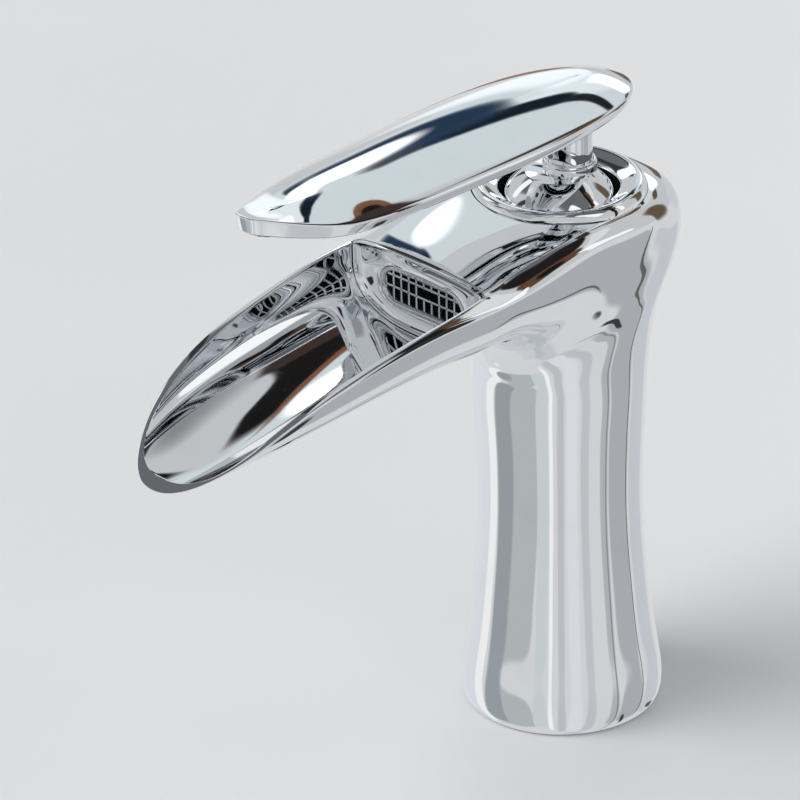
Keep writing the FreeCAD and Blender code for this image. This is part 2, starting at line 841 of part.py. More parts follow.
os.makedirs("parts", exist_ok=True)
for node in nodes:
    node.Label = node.Name
    shape = node.Shape
    if shape.isNull() or not shape.isValid():
        raise RuntimeError(node.Name + " has no valid shape")
    print("%-18s solids %d  volume %9.1f  %s" % (
        node.Name, len(shape.Solids), shape.Volume,
        [round(v, 2) for v in (shape.BoundBox.XMin, shape.BoundBox.XMax, shape.BoundBox.YMin,
                               shape.BoundBox.YMax, shape.BoundBox.ZMin, shape.BoundBox.ZMax)]))
    shape.exportStep("parts/%s.step" % node.Name)
print("parts written:", len(nodes))
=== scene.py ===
import json
import math
import bmesh
import bpy
import numpy as np
from mathutils import Matrix, Vector
from mathutils.bvhtree import BVHTree
from mathutils.interpolate import poly_3d_calc


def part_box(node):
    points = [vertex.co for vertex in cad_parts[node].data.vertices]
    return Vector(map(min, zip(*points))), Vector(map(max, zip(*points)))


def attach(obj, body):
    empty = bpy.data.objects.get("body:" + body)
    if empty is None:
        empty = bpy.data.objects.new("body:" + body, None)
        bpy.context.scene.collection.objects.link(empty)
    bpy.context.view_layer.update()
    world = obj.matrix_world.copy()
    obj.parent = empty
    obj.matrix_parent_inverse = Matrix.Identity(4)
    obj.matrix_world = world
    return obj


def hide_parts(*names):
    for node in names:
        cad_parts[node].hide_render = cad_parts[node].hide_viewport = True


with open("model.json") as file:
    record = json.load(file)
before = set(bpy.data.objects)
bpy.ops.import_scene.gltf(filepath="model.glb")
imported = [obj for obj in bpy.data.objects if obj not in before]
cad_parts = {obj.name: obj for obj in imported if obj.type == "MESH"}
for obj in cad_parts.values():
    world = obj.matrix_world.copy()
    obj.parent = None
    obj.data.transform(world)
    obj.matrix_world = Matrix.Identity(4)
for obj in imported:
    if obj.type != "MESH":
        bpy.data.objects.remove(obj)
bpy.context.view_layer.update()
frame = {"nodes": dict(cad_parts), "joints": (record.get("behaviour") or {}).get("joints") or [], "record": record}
mm = 0.001
print("frame loaded")


# lines and curves, all in millimetres

# smooth line through the values, one row of values for each knot
def throughPoints(knots, values, at):
    knots = np.asarray(knots, float)
    values = np.asarray(values, float)
    at = np.atleast_1d(np.asarray(at, float))
    n = len(knots)
    gap = np.diff(knots)
    flat = values.reshape(n, -1)
    matrix = np.zeros((n, n))
    right = np.zeros_like(flat)
    for i in range(1, n - 1):
        matrix[i, i - 1 : i + 2] = gap[i - 1], 2 * (gap[i - 1] + gap[i]), gap[i]
        right[i] = 6 * ((flat[i + 1] - flat[i]) / gap[i] - (flat[i] - flat[i - 1]) / gap[i - 1])
    matrix[0, :3] = gap[1], -gap[0] - gap[1], gap[0]
    matrix[-1, -3:] = gap[-1], -gap[-2] - gap[-1], gap[-2]
    bend = np.linalg.solve(matrix, right)
    cell = np.clip(np.searchsorted(knots, at, side="right") - 1, 0, n - 2)
    width = gap[cell][:, None]
    b = (at - knots[cell])[:, None] / width
    a = 1 - b
    out = a * flat[cell] + b * flat[cell + 1]
    out += ((a**3 - a) * bend[cell] + (b**3 - b) * bend[cell + 1]) * width**2 / 6
    return out.reshape((len(at),) + values.shape[1:])


# right half of a rounded section from its inner end to its outer end: (across, reach)
def halfSection(mid, outer, inner, halfWidth, outerPower, innerPower, samples=360):
    guides = 15
    angle = np.linspace(-math.pi / 2, math.pi / 2, guides)
    power = np.where(angle >= 0, outerPower, innerPower)
    rise = np.abs(np.sin(angle)) ** (2 / power)
    across = halfWidth * np.abs(np.cos(angle)) ** (2 / power)
    reach = np.where(angle >= 0, mid + (outer - mid) * rise, mid - (mid - inner) * rise)
    guide = np.column_stack([across, reach])
    guide[0, 0] = guide[-1, 0] = 0
    spare = 6
    other = guide * (-1, 1)
    line = np.vstack([other[spare:0:-1], guide, other[-2 : -2 - spare : -1]])
    knots = np.arange(-spare, guides + spare)
    return throughPoints(knots, line, np.linspace(0, guides - 1, samples))


# part of a line between two places on it, with points evenly spaced by length
def evenly(line, start, end, count):
    index = np.arange(len(line))
    inside = index[(index > start + 1e-9) & (index < end - 1e-9)]
    places = np.concatenate([[start], inside, [end]])
    points = np.column_stack([np.interp(places, index, line[:, k]) for k in range(line.shape[1])])
    steps = np.linalg.norm(np.diff(points, axis=0), axis=1)
    length = np.concatenate([[0], np.cumsum(steps)])
    wanted = np.linspace(0, length[-1], count)
    return np.column_stack([np.interp(wanted, length, points[:, k]) for k in range(line.shape[1])])


# place on a line, as an index with a fraction, where column k first passes a value
def firstPast(line, k, value):
    past = np.nonzero(line[:, k] > value)[0]
    if len(past) == 0:
        return float(len(line) - 1)
    i = max(int(past[0]), 1)
    low, high = line[i - 1, k], line[i, k]
    return i - 1 + float(np.clip((value - low) / max(high - low, 1e-9), 0, 1))


# rounds a corner between two points with a short curve
def roundCorner(before, corner, after, parts=4):
    t = np.linspace(0, 1, parts + 1)[:, None]
    return (1 - t) ** 2 * before + 2 * t * (1 - t) * corner + t**2 * after


# closed outline with its corners rounded: each point is (a, b, rounding)
def softOutline(points):
    out = []
    count = len(points)
    for i, (a, b, rounding) in enumerate(points):
        here = np.array([a, b], float)
        if rounding <= 0:
            out.append(here)
            continue
        before = np.array(points[i - 1][:2], float)
        after = np.array(points[(i + 1) % count][:2], float)
        start = here + (before - here) / np.linalg.norm(before - here) * rounding
        end = here + (after - here) / np.linalg.norm(after - here) * rounding
        out.extend(roundCorner(start, here, end))
    return np.array(out)


# meshes: grids and fills in millimetres, each with its material number
def newMesh(name, grids, fills=(), sharp=38, materials=1):
    shape = bmesh.new()
    for grid, slot in grids:
        rows = [[shape.verts.new(Vector(p) * mm) for p in row] for row in grid]
        for low, high in zip(rows, rows[1:]):
            for i in range(len(low) - 1):
                shape.faces.new((low[i], low[i + 1], high[i + 1], high[i])).material_index = slot
    for loop, slot in fills:
        shape.faces.new([shape.verts.new(Vector(p) * mm) for p in loop]).material_index = slot
    bmesh.ops.remove_doubles(shape, verts=shape.verts, dist=2e-6)
    bmesh.ops.dissolve_degenerate(shape, edges=shape.edges, dist=1e-6)
    bmesh.ops.recalc_face_normals(shape, faces=shape.faces)
    mesh = bpy.data.meshes.new(name)
    shape.to_mesh(mesh)
    shape.free()
    for k in range(materials):
        mesh.materials.append(None)
    smoothShade(mesh, sharp)
    return mesh


def smoothShade(mesh, sharp):
    mesh.shade_smooth()
    mesh.set_sharp_from_angle(angle=math.radians(sharp))


def newPiece(name, mesh):
    piece = bpy.data.objects.new(name, mesh)
    bpy.context.scene.collection.objects.link(piece)
    return piece


# turned shape: closed outline of (radius, height), about a vertical line
def turnedGrid(outline, centre=(0, 0), steps=144):
    outline = np.vstack([outline, outline[:1]])
    angle = np.linspace(0, 2 * math.pi, steps + 1)
    grid = np.zeros((len(outline), steps + 1, 3))
    grid[:, :, 0] = centre[0] + outline[:, :1] * np.cos(angle)
    grid[:, :, 1] = centre[1] + outline[:, :1] * np.sin(angle)
    grid[:, :, 2] = outline[:, 1:2]
    grid[:, -1] = grid[:, 0]
    return grid


# the same along Y: outline of (radius, y)
def turnedAlongY(outline, centre, steps=72):
    grid = turnedGrid(outline, steps=steps)
    turned = np.empty_like(grid)
    turned[..., 0] = centre[0] + grid[..., 0]
    turned[..., 1] = grid[..., 2]
    turned[..., 2] = centre[1] + grid[..., 1]
    return turned


# cuts the tool away from the base and keeps the base's own shading
def carve(mesh, tool, sharp=38):
    base = newPiece("carveBase", mesh)
    cutter = newPiece("carveTool", tool)
    step = base.modifiers.new("cut", "BOOLEAN")
    step.operation = "DIFFERENCE"
    step.solver = "EXACT"
    step.material_mode = "INDEX"
    step.object = cutter
    depsgraph = bpy.context.evaluated_depsgraph_get()
    made = bpy.data.meshes.new_from_object(base.evaluated_get(depsgraph))
    made.name = mesh.name
    keepShading(made, mesh, sharp)
    bpy.data.objects.remove(base)
    bpy.data.objects.remove(cutter)
    return made


# faces next to a cut take their normals from the surface before the cut
def keepShading(made, before, sharp):
    smoothShade(made, sharp)
    points = [v.co for v in before.vertices]
    tree = BVHTree.FromPolygons(points, [p.vertices for p in before.polygons])
    cutVerts = set()
    for face in made.polygons:
        if face.material_index > 0:
            cutVerts.update(face.vertices)
    normals = [Vector((0, 0, 0))] * len(made.loops)
    corners = before.corner_normals
    for face in made.polygons:
        touched = len(face.vertices) != 4 or cutVerts.intersection(face.vertices)
        if face.material_index > 0 or not touched:
            continue
        for loop in face.loop_indices:
            spot = made.vertices[made.loops[loop].vertex_index].co
            place, normal, index, distance = tree.find_nearest(spot + (face.center - spot) * 0.02)
            source = before.polygons[index]
            shares = poly_3d_calc([before.vertices[v].co for v in source.vertices], place)
            blended = Vector((0, 0, 0))
            for share, k in zip(shares, source.loop_indices):
                blended += corners[k].vector * share
            if blended.dot(face.normal) > 0.2:
                normals[loop] = blended.normalized()
    made.normals_split_custom_set(normals)


# column, head and open spout in one casting
bodyForm = {
    # height and radius of each ring of the column
    "column": [(0.5, 24.35), (2, 24.8), (4.4, 25), (9, 24.7), (18, 23.3), (30, 21.9), (44, 20.7),
               (58, 20.25), (72, 20.6), (84, 21.05)],
    "bendLine": (-38.0, 92.0),
    # angle, inner, mid and outer reach from the bend line, half width, outer and inner squareness
    "bend": [(0, 17, 38.4, 59.6, 21.2, 2, 2), (12, 16.8, 40, 63, 21.7, 2, 2),
             (20, 17, 44, 67.8, 22.3, 2.05, 2), (25, 17, 48, 74.4, 22.8, 2.1, 2),
             (28, 17.1, 50, 78.6, 23.2, 2.2, 2), (31, 17.2, 52, 79.8, 23.7, 2.3, 2),
             (34, 17.3, 52.5, 79.1, 24.1, 2.5, 2), (38, 17.5, 53, 76, 24.5, 2.8, 2.05),
             (44, 17.8, 54, 68.6, 25, 3.5, 2.1), (52, 18.3, 49.5, 60.6, 25, 4, 2.1),
             (62, 18.9, 44.2, 54.1, 25, 4, 2.15), (75, 20, 40.4, 48.8, 25, 3, 2.2)],
    # forward, floor, shoulder and top heights, half width, top and floor squareness
    "spout": [(38, 113, 131, 138.3, 25, 2.2, 2.2), (47.4, 113.7, 131, 138, 25, 2, 2.25),
              (60, 114.2, 130.7, 138.2, 24.2, 2.1, 2.25),
              (75, 113.9, 129.4, 137.4, 23.2, 2.2, 2.25),
              (90, 113.2, 127.4, 135.4, 22.2, 2.2, 2.25), (104, 112.3, 125, 132.5, 20.6, 2.2, 2.25),
              (116, 111.3, 122.3, 129, 18.3, 2.2, 2.2), (126, 110.4, 119.8, 126, 15.3, 2.2, 2.2),
              (137, 109.9, 117, 122.5, 11.5, 2.2, 2.2)],
    # forward, floor, widest height and half width of the water channel
    "channel": [(47.4, 116.9, 130, 21.2), (60, 116.5, 129.5, 21.8), (75, 115.9, 128.2, 21),
                (90, 115.1, 126.2, 20), (104, 114.1, 123.6, 18.5), (116, 113, 120.8, 16.3),
                (126, 112, 118, 13.5), (138, 111.3, 115.5, 10)],
    "channelPower": 2.4,
    # forward and height of the rim
    "rim": [(47.4, 134.2), (60, 133.3), (76, 131.3), (90, 128.9), (103.7, 125.2), (112.7, 121.5),
            (122.5, 116.3), (128.5, 113), (135, 109.6), (140, 107.2)],
    "lipForward": 47.4,
    "lipUnder": 136.8,
    "mouthDepth": 10.6,
    "rimRounding": 0.4,
    "rowStep": 0.8,
    "sideCells": 64,
    "topCells": 52,
    "channelCells": 56,
    "spoutRows": 120,
    "roundingRows": 6,  # rows over which the rim's rounding starts
}


def bodyRings():
    rings = []
    for height, radius in bodyForm["column"]:
        half = halfSection(0, radius, -radius, radius, 2, 2)
        rings.append(np.column_stack([half[:, 0], half[:, 1], np.full(len(half), height)]))
    bendY, bendZ = bodyForm["bendLine"]
    for angle, inner, mid, outer, width, outerPower, innerPower in bodyForm["bend"]:
        turn = math.radians(angle)
        half = halfSection(mid, outer, inner, width, outerPower, innerPower)
        rings.append(np.column_stack(
            [half[:, 0], bendY + half[:, 1] * math.cos(turn), bendZ + half[:, 1] * math.sin(turn)]))
    for forward, floor, mid, top, width, topPower, floorPower in bodyForm["spout"]:
        half = halfSection(mid, top, floor, width, topPower, floorPower)
        rings.append(np.column_stack([half[:, 0], np.full(len(half), -forward), half[:, 1]]))
    return np.array(rings)


def mirrored(half):
    return half * (-1, 1, 1)


# whole closed section from its right half, inner end first
def wholeRing(half):
    return np.vstack([half, mirrored(half)[-2::-1]])


def bodyBlank():
    form = bodyForm
    rings = bodyRings()
    gaps = np.linalg.norm(np.diff(rings, axis=0), axis=2).mean(axis=1)
    knots = np.concatenate([[0], np.cumsum(np.sqrt(gaps))])
    travel = np.concatenate([[0], np.cumsum(gaps)])
    lip = len(form["column"]) + len(form["bend"]) + 1
    side, top, channelCells = form["sideCells"], form["topCells"], form["channelCells"]

    rimAt = np.array(form["rim"])

    def rimHeight(y):
        return throughPoints(rimAt[:, 0], rimAt[:, 1], [-y])[0]

    # closed rings from the deck to the lip
    lipHalf = rings[lip]
    seam = firstPast(lipHalf, 2, rimHeight(-form["lipForward"]))
    count = int(travel[lip] / form["rowStep"])
    places = np.interp(np.linspace(0, travel[lip], count), travel, knots)
    rows = []
    for half in throughPoints(knots, rings, places):
        low = evenly(half, 0, seam, side + 1)
        high = evenly(half, seam, len(half) - 1, top + 1)
        low[0, 0] = high[-1, 0] = 0
        rows.append(np.vstack([low, high[1:]]))
    lipHigh = rows[-1][side:]
    closedRows = np.array([wholeRing(row) for row in rows])

    # open sections from the lip to the tip of the spout
    fine = np.linspace(knots[lip], knots[-1], 500)
    fineRows = throughPoints(knots, rings, fine)
    floorLine = fineRows[:, 0]
    below = [floorLine[i, 2] - rimHeight(floorLine[i, 1]) for i in range(len(fine))]
    tip = float(np.interp(0, below, -floorLine[:, 1]))
    share = np.sin(np.linspace(0, math.pi / 2, form["spoutRows"]))
    forwards = form["lipForward"] + (tip - 0.01 - form["lipForward"]) * share
    channelAt = np.array(form["channel"])
    troughRows = []
    for n, forward in enumerate(forwards):
        place = np.interp(forward, -floorLine[:, 1], fine)
        half = lipHalf if n == 0 else throughPoints(knots, rings, [place])[0]
        height = rimHeight(-forward)
        outerEnd = firstPast(half, 2, height)
        ready = min(1.0, n / form["roundingRows"])
        outer = evenly(half, 0, outerEnd, side + 1)
        floor, widest, width = throughPoints(channelAt[:, 0], channelAt[:, 1:], [forward])[0]
        lower = halfSection(widest, 2 * widest - floor, floor, width, form["channelPower"],
                            form["channelPower"], 300)[:150]
        wall = np.vstack([lower, [[width, widest + 20]]])
        wall = np.column_stack([wall[:, 0], np.full(len(wall), -forward), wall[:, 1]])
        if height > floor:
            innerEnd = firstPast(wall, 2, height)
            inner = evenly(wall, 0, innerEnd, channelCells + 1)
        else:
            inner = np.tile([0, -forward, height], (channelCells + 1, 1))
        outer[0, 0] = inner[0, 0] = 0
        outer[:, 1] = inner[:, 1] = -forward
        a, b = outer[-1], inner[-1]
        thick = np.linalg.norm(b - a)
        rounding = ready * min(form["rimRounding"], 0.42 * thick)
        lengthOut = np.linalg.norm(np.diff(outer, axis=0), axis=1).sum()
        lengthIn = np.linalg.norm(np.diff(inner, axis=0), axis=1).sum()
        outSpan = min(rounding, 0.4 * lengthOut)
        inSpan = min(rounding, 0.4 * lengthIn)
        outer = evenly(outer, 0, side * (1 - outSpan / max(lengthOut, 1e-6)), side + 1)
        innerKept = channelCells * (1 - inSpan / max(lengthIn, 1e-6))
        inner = evenly(inner, 0, innerKept, channelCells + 1)
        across = (b - a) / max(thick, 1e-6)
        outerTurn = roundCorner(outer[-1], a, a + across * rounding)[1:]
        innerTurn = roundCorner(b - across * rounding, b, inner[-1])[:-1]
        half = np.vstack([outer, outerTurn, innerTurn, inner[::-1]])
        half[0, 0] = half[-1, 0] = 0
        troughRows.append(half)
    trough = np.array([wholeRing(half) for half in troughRows])

    # front of the lip and the hollow behind it
    start = troughRows[0]
    channelHalf = start[-channelCells - 1 :][::-1]
    corner = channelHalf[-1]
    turn = np.linspace(0, math.pi / 2, top + 1)
    arch = np.column_stack([corner[0] * np.cos(turn), np.full(top + 1, corner[1]),
                            corner[2] + (form["lipUnder"] - corner[2]) * np.sin(turn)])
    arch[-1, 0] = 0
    lipFace = np.array([wholeRing(lipHigh), wholeRing(arch)])
    hollowHalf = np.vstack([channelHalf, arch[1:]])
    hollow = [wholeRing(hollowHalf)]
    hollow.append(hollow[0] + (0, form["mouthDepth"], 0))
    base = closedRows[0]
    grids = [(closedRows, 0), (trough, 0), (lipFace, 0), (np.array(hollow), 1)]
    fills = [(hollow[1][:-1], 1), (base[:-1], 0)]
    return newMesh("faucetBody", grids, fills, sharp=50, materials=2), hollow[0]


bodyCuts = {
    "cavity": [(0, -5, 0), (17, -5, 0), (17, 70, 0), (0, 70, 0)],
    "sealGroove": [(20.4, -1, 0), (23.1, -1, 0), (23.1, 1.95, 0), (20.4, 1.95, 0)],
    "cartridgeSeat": [(0, 94, 0), (18.2, 94, 0), (18.2, 118.5, 0), (19.55, 118.5, 0),
                      (19.55, 135, 0), (21.35, 135, 0), (21.35, 160, 0), (0, 160, 0)],
    "inlet": [(0, 69, 0), (5, 69, 0), (5, 84, 0), (2.6, 85, 0), (2.6, 90, 0), (0, 90, 0)],
    "studHole": [(0, 69, 0), (4, 69, 0), (4, 86, 0), (0, 86, 0)],
    "inletAt": (8, 4),
    "studAt": -12.5,
}


def cutTool(places):
    grids = []
    for name, centre in places:
        grids.append((turnedGrid(softOutline(bodyCuts[name]), centre, 160), 1))
    return newMesh("cutTool", grids, materials=2)


blank, mouthRing = bodyBlank()
inletX, inletY = bodyCuts["inletAt"]
bodyMesh = carve(blank, cutTool([("cavity", (0, 0)), ("sealGroove", (0, 0)),
                                 ("cartridgeSeat", (0, 0))]), 50)
bodyMesh = carve(bodyMesh, cutTool([("inlet", (inletX, inletY)), ("inlet", (-inletX, inletY)),
                                    ("studHole", (0, bodyCuts["studAt"]))]), 50)
faucetBody = newPiece("faucetBody", bodyMesh)
print("body made, faces:", len(bodyMesh.polygons))


# dished insert with a slot, and the grille in it
outletForm = {
    "gap": 0.12,
    "front": -48.8,
    "back": -39.0,
    "dish": -46.75,
    # distance in from the edge, y past the front
    "edgeLip": [(0, 0.3), (0.04, 0.1), (0.16, 0), (0.34, 0), (0.50, 0.1), (0.60, 0.32)],
    # share of the way from the edge to the slot, y
    "dishRows": [(0.14, -47.95), (0.24, -47.55), (0.38, -47.2), (0.52, -46.95), (0.66, -46.8)],
    # distance out from the slot, y past the dish
    "slotLip": [(1.15, 0), (0.95, -0.05), (0.75, -0.2), (0.5, -0.28), (0.25, -0.2), (0.08, -0.02)],
    "slotWidth": 28.0,
    "slotHeight": 10.2,
    "centre": 126.2,
    "barWidth": 0.62,
    "pitch": 2.5,
    "grilleFront": -46.25,
    "grilleBack": -44.2,
    "frameGap": 0.05,
    # how far inside the slot, y
    "frameRows": [(0, -43.6), (0, -46.9), (0.15, -47.05), (0.75, -47.05), (0.95, -46.9),
                  (1.3, -46.2), (1.3, -43.6), (0, -43.6)],
    "frameWidth": 1.25,
    "barBevel": 0.16,
    "shortEdge": 0.8,  # edges up to this length stay sharp
    "barOverlap": 0.5,  # how far the bars run into the frame
    "crossBars": (-0.55, 2.45),  # heights from the centre
    "splitBars": (0, 1),  # upright bars with an opening, and its lower and upper end
    "splitFrom": -0.9,
    "splitTo": 2.1,
}


def stadiumAt(angle, width, height):
    radius = height / 2
    offset = width / 2 - radius
    out = []
    for a in angle:
        c, s = math.cos(a), math.sin(a)
        if abs(s) > 1e-9 and abs(c) * radius / abs(s) <= offset:
            reach = radius / abs(s)
        else:
            m = offset * abs(c)
            reach = m + math.sqrt(max(m * m - offset * offset + radius * radius, 0))
        out.append((c * reach, s * reach))
    return np.array(out)


def insertMesh():
    form = outletForm
    steps = 240
    angle = np.linspace(0, 2 * math.pi, steps + 1)
    ring = mouthRing[:-1, [0, 2]] - (0, form["centre"])
    ringAngle = np.arctan2(ring[:, 1], ring[:, 0]) % (2 * math.pi)
    order = np.argsort(ringAngle)
    ringReach = np.linalg.norm(ring, axis=1)[order]
    reach = np.interp(angle, ringAngle[order], ringReach, period=2 * math.pi)
    outline = np.column_stack([np.cos(angle), np.sin(angle)]) * (reach - form["gap"])[:, None]
    slot = stadiumAt(angle, form["slotWidth"], form["slotHeight"])
    span = slot - outline
    length = np.linalg.norm(span, axis=1)[:, None]
    rows = []

    def fromEdge(distance, y):
        rows.append((outline + span / length * distance, y))

    def fromSlot(distance, y):
        rows.append((slot - span / length * distance, y))

    def between(share, y):
        rows.append((outline + span * share, y))

    fromEdge(0, form["back"])
    for distance, y in form["edgeLip"]:
        fromEdge(distance, form["front"] + y)
    deep = form["dish"]
    for share, y in form["dishRows"]:
        between(share, y)
    for distance, y in form["slotLip"]:
        fromSlot(distance, deep + y)
    fromSlot(0, deep + 0.2)
    fromSlot(0, form["back"])
    fromEdge(0, form["back"])
    grid = np.array([np.column_stack([p[:, 0], np.full(len(p), y), p[:, 1] + form["centre"]])
                     for p, y in rows])
    grid[:, -1] = grid[:, 0]
    return newMesh("outletInsert", [(grid, 0)], sharp=45)


# corners of a bar's faces: front, back, then round the sides
barFaces = [(0, 1, 2, 3), (7, 6, 5, 4), (0, 4, 5, 1), (1, 5, 6, 2), (2, 6, 7, 3), (3, 7, 4, 0)]


def grilleMesh():
    form = outletForm
    angle = np.linspace(0, 2 * math.pi, 241)
    z0 = form["centre"]
    rows = []
    for shrink, y in form["frameRows"]:
        less = 2 * (form["frameGap"] + shrink)
        line = stadiumAt(angle, form["slotWidth"] - less, form["slotHeight"] - less)
        rows.append(np.column_stack([line[:, 0], np.full(len(line), y), line[:, 1] + z0]))
    grid = np.array(rows)
    grid[:, -1] = grid[:, 0]
    mesh = newMesh("outletGrilleFrame", [(grid, 0)], sharp=45)
    half = form["barWidth"] / 2
    front, back = form["grilleFront"], form["grilleBack"]
    inner = form["slotHeight"] / 2 - form["frameWidth"]
    offset = form["slotWidth"] / 2 - form["slotHeight"] / 2
    bars = []
    for i in range(-5, 6):
        x = i * form["pitch"]
        past = max(0, abs(x) - offset)
        reach = math.sqrt(max(inner**2 - past**2, 0)) + form["barOverlap"]
        spans = [(-reach, reach)]
        if i in form["splitBars"]:
            spans = [(-reach, form["splitFrom"]), (form["splitTo"], reach)]
        for low, high in spans:
            if high - low > 1:
                bars.append((x - half, x + half, z0 + low, z0 + high))
    for z in form["crossBars"]:
        wide = offset + math.sqrt(inner**2 - z * z) + form["barOverlap"]
        bars.append((-wide, wide, z0 + z - half, z0 + z + half))
    shape = bmesh.new()
    shape.from_mesh(mesh)
    for left, right, low, high in bars:
        corners = [(x, y, z) for y in (front, back)
                   for x, z in ((left, low), (right, low), (right, high), (left, high))]
        v = [shape.verts.new(Vector(c) * mm) for c in corners]
        made = [shape.faces.new([v[k] for k in face]) for face in barFaces]
        long = {edge for face in made for edge in face.edges
                if edge.calc_length() > form["shortEdge"] * mm}
        frontEdges = [edge for edge in long
                      if all(abs(w.co.y - front * mm) < 1e-7 for w in edge.verts)]
        bmesh.ops.bevel(shape, geom=frontEdges, offset=form["barBevel"] * mm, segments=2,
                        affect="EDGES", profile=0.6)
    bmesh.ops.recalc_face_normals(shape, faces=shape.faces)
    shape.to_mesh(mesh)
    shape.free()
    smoothShade(mesh, 45)
    return mesh


outletInsert = newPiece("outletInsert", insertMesh())
outletGrille = newPiece("outletGrille", grilleMesh())
print("outlet made")


# trim ring, ball, stem and collar; outlines are (radius, height, rounding)
ringForm = [(17.6, 135, 0), (21.3, 135, 0.2), (21.3, 139.2, 1.0), (20.2, 141.15, 0.9),
            (18.9, 141.2, 0.7), (16.6, 140.1, 1.2), (14.62, 139.35, 0.4), (14.5, 138.5, 0.2),
            (16.4, 136.6, 0.5)]
ballForm = {"radius": 16.5, "inner": 13.2, "skirt": 131.4, "flat": 143.0, "wall": 1.2}
stemForm = {"radius": 5.5, "top": 160.4, "low": 139.0,
            "boreHeight": 156.0, "boreRadius": 2.05, "boreFloor": 2.0}
collarForm = [(5.52, 137.6, 0), (6.58, 137.6, 0.1), (6.58, 144.45, 0.22), (6.2, 144.62, 0.1),
              (6.2, 145.2, 0.2), (5.52, 145.2, 0.12)]

collarLow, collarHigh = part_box("stem_collar")
stemBack = round((collarLow.y + collarHigh.y) / 2 / mm, 2)
ballHeight = next(j["pos_m"][2] for j in frame["joints"] if j["name"] == "flow_tilt") / mm


def ballOutline():
    form = ballForm
    low = math.asin((form["skirt"] - ballHeight) / form["radius"])
    high = math.asin((form["flat"] - ballHeight) / form["radius"])
    outer = [(form["radius"] * math.cos(a), ballHeight + form["radius"] * math.sin(a))
             for a in np.linspace(low, high, 40)]
    flatInner = form["flat"] - form["wall"]
    start = math.asin((form["skirt"] - ballHeight) / form["inner"])
    end = math.asin(min((flatInner - ballHeight) / form["inner"], 1))
    inner = [(max(form["inner"] * math.cos(a), 0), ballHeight + form["inner"] * math.sin(a))
             for a in np.linspace(end, start, 24)]
    return np.array(outer + [(0, form["flat"])] + [(0, inner[0][1])] + inner)


def stemMesh():
    form = stemForm
    outline = softOutline([(0, form["low"], 0), (form["radius"], form["low"], 0.2),
                           (form["radius"], form["top"], 0.25), (0, form["top"], 0)])
    mesh = newMesh("leverStem", [(turnedGrid(outline, (0, stemBack), 128), 0)], materials=2)
    reach = form["radius"] + 2
    floor, mouth = stemBack + form["boreFloor"], stemBack + reach
    bore = softOutline([(0, floor, 0), (form["boreRadius"], floor, 0),
                        (form["boreRadius"], mouth, 0), (0, mouth, 0)])
    tool = newMesh("boreTool", [(turnedAlongY(bore, (0, form["boreHeight"])), 1)], materials=2)
    return carve(mesh, tool)


trimRing = newPiece("trimRing", newMesh(
    "trimRing", [(turnedGrid(softOutline(ringForm), steps=192), 0)], sharp=60))
ballDome = newPiece("ballDome", newMesh("ballDome", [(turnedGrid(ballOutline(), steps=160), 0)]))
leverStem = newPiece("leverStem", stemMesh())
stemCollar = newPiece("stemCollar", newMesh(
    "stemCollar", [(turnedGrid(softOutline(collarForm), (0, stemBack), 128), 0)], sharp=50))
print("ball, stem and ring made")


# rows of a rounded corner between two rings of points
def cornerRows(before, corner, after, parts, keepFirst=False):
    out = []
    for t in np.linspace(0, 1, parts + 1)[0 if keepFirst else 1 :]:
        out.append((1 - t) ** 2 * before + 2 * t * (1 - t) * corner + t * t * after)
    return out


leafForm = {
    # outline from the rounded back to the blunt nose: half width, y
    "outline": [(0, 20.4), (4.6, 19.5), (7.9, 17.4), (11.3, 13.4), (14.4, 7), (17, -4),
                (18.3, -20), (18.1, -40), (17.3, -58), (16.1, -72), (13.7, -83.5), (10.2, -91),
                (6.3, -97.8), (3.9, -101.6), (2.6, -103.4), (0, -104)],
    # y, edge height, crown over the edge, depth of the edge
    "heights": [(20.4, 162.3, 2.2, 1.9), (7, 162.6, 2.9, 2.2), (-4, 162.7, 3.3, 2.3),
                (-20, 162.75, 3.5, 2.35), (-40, 162.8, 3.4, 2.4), (-58, 162.8, 3.2, 2.4),
                (-72, 162.9, 2.9, 2.6), (-83, 163.3, 2.4, 3.1), (-91, 164.7, 1.7, 3.7),
                (-98, 166.6, 1.0, 4.2), (-104, 168.3, 0.5, 4.3)],
    "spine": (6.0, -93.0),
    "crownPower": 2.3,
    "rounding": 0.55,
    "inset": 0.35,
    "underDrop": 0.15,
    "around": 320,
    "topRings": 34,
    "underRings": 14,
}


